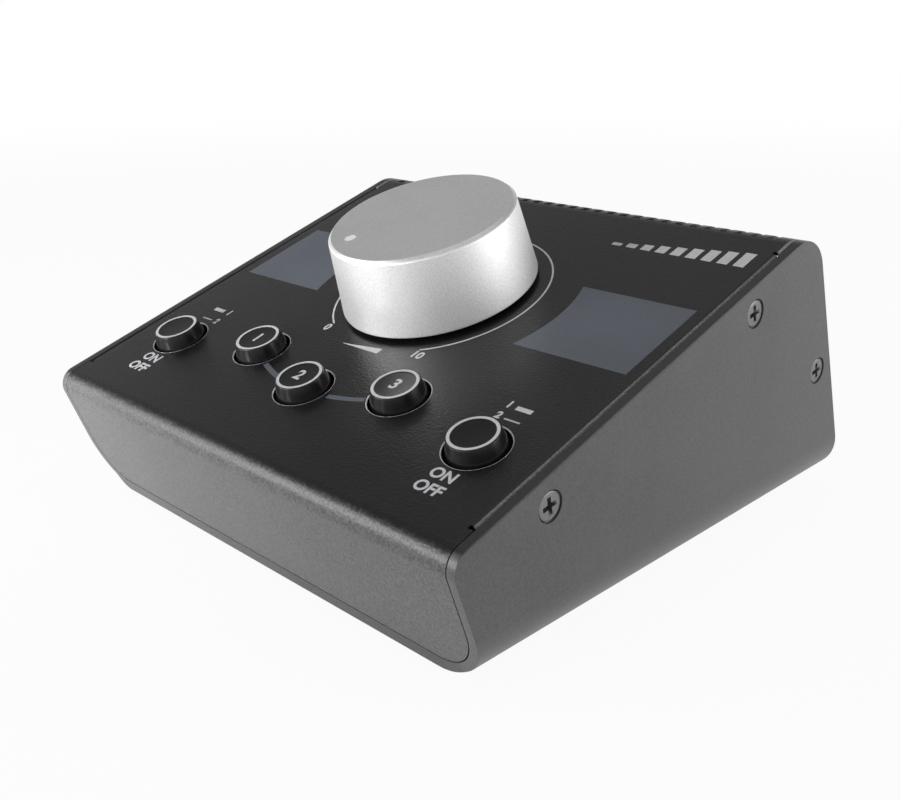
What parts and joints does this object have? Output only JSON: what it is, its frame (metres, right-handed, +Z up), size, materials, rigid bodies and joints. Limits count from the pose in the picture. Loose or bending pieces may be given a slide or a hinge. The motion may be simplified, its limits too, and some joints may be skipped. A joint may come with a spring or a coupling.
{
  "type": "studio monitor controller",
  "caption": "Sloping desktop control box of bent sheet metal with a large volume knob, a row of round push buttons and jack sockets at the rear.",
  "frame": {"origin": "on the desk, under the middle of the case", "axes": "+X to the user's right, +Y from the user to the rear, +Z up"},
  "size_m": [0.135, 0.139, 0.0784],
  "materials": {
    "powder_coat": "satin black powder coat",
    "panel_coat": "fine satin black coat",
    "satin_aluminium": "satin, turned",
    "gloss_black": "polished, with a printed ring",
    "black_plastic": "moulded",
    "grey_plastic": "moulded",
    "black_zinc": "black zinc",
    "bright_steel": "nickel plated",
    "spring_steel": "drawn wire",
    "track_brown": "phenolic board",
    "board_green": "solder mask",
    "ribbon_grey": "flat cable insulation",
    "foot_rubber": "moulded rubber"
  },
  "bodies": {
    "case": {"base_tray": "powder_coat", "top_cover": "panel_coat", "side_screw_front_left": "black_zinc", "side_screw_front_right": "black_zinc", "side_screw_rear_left": "black_zinc", "side_screw_rear_right": "black_zinc", "side_screw_low_left": "black_zinc", "side_screw_low_right": "black_zinc", "volume_bushing": "bright_steel", "volume_washer": "bright_steel", "volume_nut": "bright_steel", "volume_housing": "black_plastic", "volume_wafer": "track_brown", "source_switch": "grey_plastic", "source_spring": "spring_steel", "mono_switch": "grey_plastic", "mono_spring": "spring_steel", "mute_switch": "grey_plastic", "mute_spring": "spring_steel", "dim_switch": "grey_plastic", "dim_spring": "spring_steel", "monitor_switch": "grey_plastic", "monitor_spring": "spring_steel", "control_board": "board_green", "standoff_front_left": "bright_steel", "standoff_front_right": "bright_steel", "standoff_rear_left": "bright_steel", "standoff_rear_right": "bright_steel", "input_a_left_jack": "black_plastic", "input_a_right_jack": "black_plastic", "input_b_left_jack": "black_plastic", "input_b_right_jack": "black_plastic", "output_a_left_jack": "black_plastic", "output_a_right_jack": "black_plastic", "output_b_left_jack": "black_plastic", "output_b_right_jack": "black_plastic", "jack_board": "board_green", "control_header": "black_plastic", "jack_header": "black_plastic", "ribbon_cable": "ribbon_grey", "foot_front_left": "foot_rubber", "foot_front_right": "foot_rubber", "foot_rear_left": "foot_rubber", "foot_rear_right": "foot_rubber"},
    "knob": {"volume_knob": "satin_aluminium", "knob_insert": "black_plastic", "volume_shaft": "bright_steel"},
    "source_key": {"source_button": "gloss_black", "source_plunger": "black_plastic"},
    "mono_key": {"mono_button": "gloss_black", "mono_plunger": "black_plastic"},
    "mute_key": {"mute_button": "gloss_black", "mute_plunger": "black_plastic"},
    "dim_key": {"dim_button": "gloss_black", "dim_plunger": "black_plastic"},
    "monitor_key": {"monitor_button": "gloss_black", "monitor_plunger": "black_plastic"}
  },
  "joints": [
    {"name": "volume_turn", "type": "hinge", "parent": "case", "child": "knob", "pos_m": [0, -0.00567, 0.05341], "axis": [0, 0.314, -0.9494], "range_deg": [0, 296]},
    {"name": "source_press", "type": "slide", "parent": "case", "child": "source_key", "axis": [0, 0.314, -0.9494], "range_m": [0, 0.0025], "stiffness_N_per_m": 400, "deforming": ["source_spring"]},
    {"name": "mono_press", "type": "slide", "parent": "case", "child": "mono_key", "axis": [0, 0.314, -0.9494], "range_m": [0, 0.0025], "stiffness_N_per_m": 400, "deforming": ["mono_spring"]},
    {"name": "mute_press", "type": "slide", "parent": "case", "child": "mute_key", "axis": [0, 0.314, -0.9494], "range_m": [0, 0.0025], "stiffness_N_per_m": 400, "deforming": ["mute_spring"]},
    {"name": "dim_press", "type": "slide", "parent": "case", "child": "dim_key", "axis": [0, 0.314, -0.9494], "range_m": [0, 0.0025], "stiffness_N_per_m": 400, "deforming": ["dim_spring"]},
    {"name": "monitor_press", "type": "slide", "parent": "case", "child": "monitor_key", "axis": [0, 0.314, -0.9494], "range_m": [0, 0.0025], "stiffness_N_per_m": 400, "deforming": ["monitor_spring"]}
  ]
}
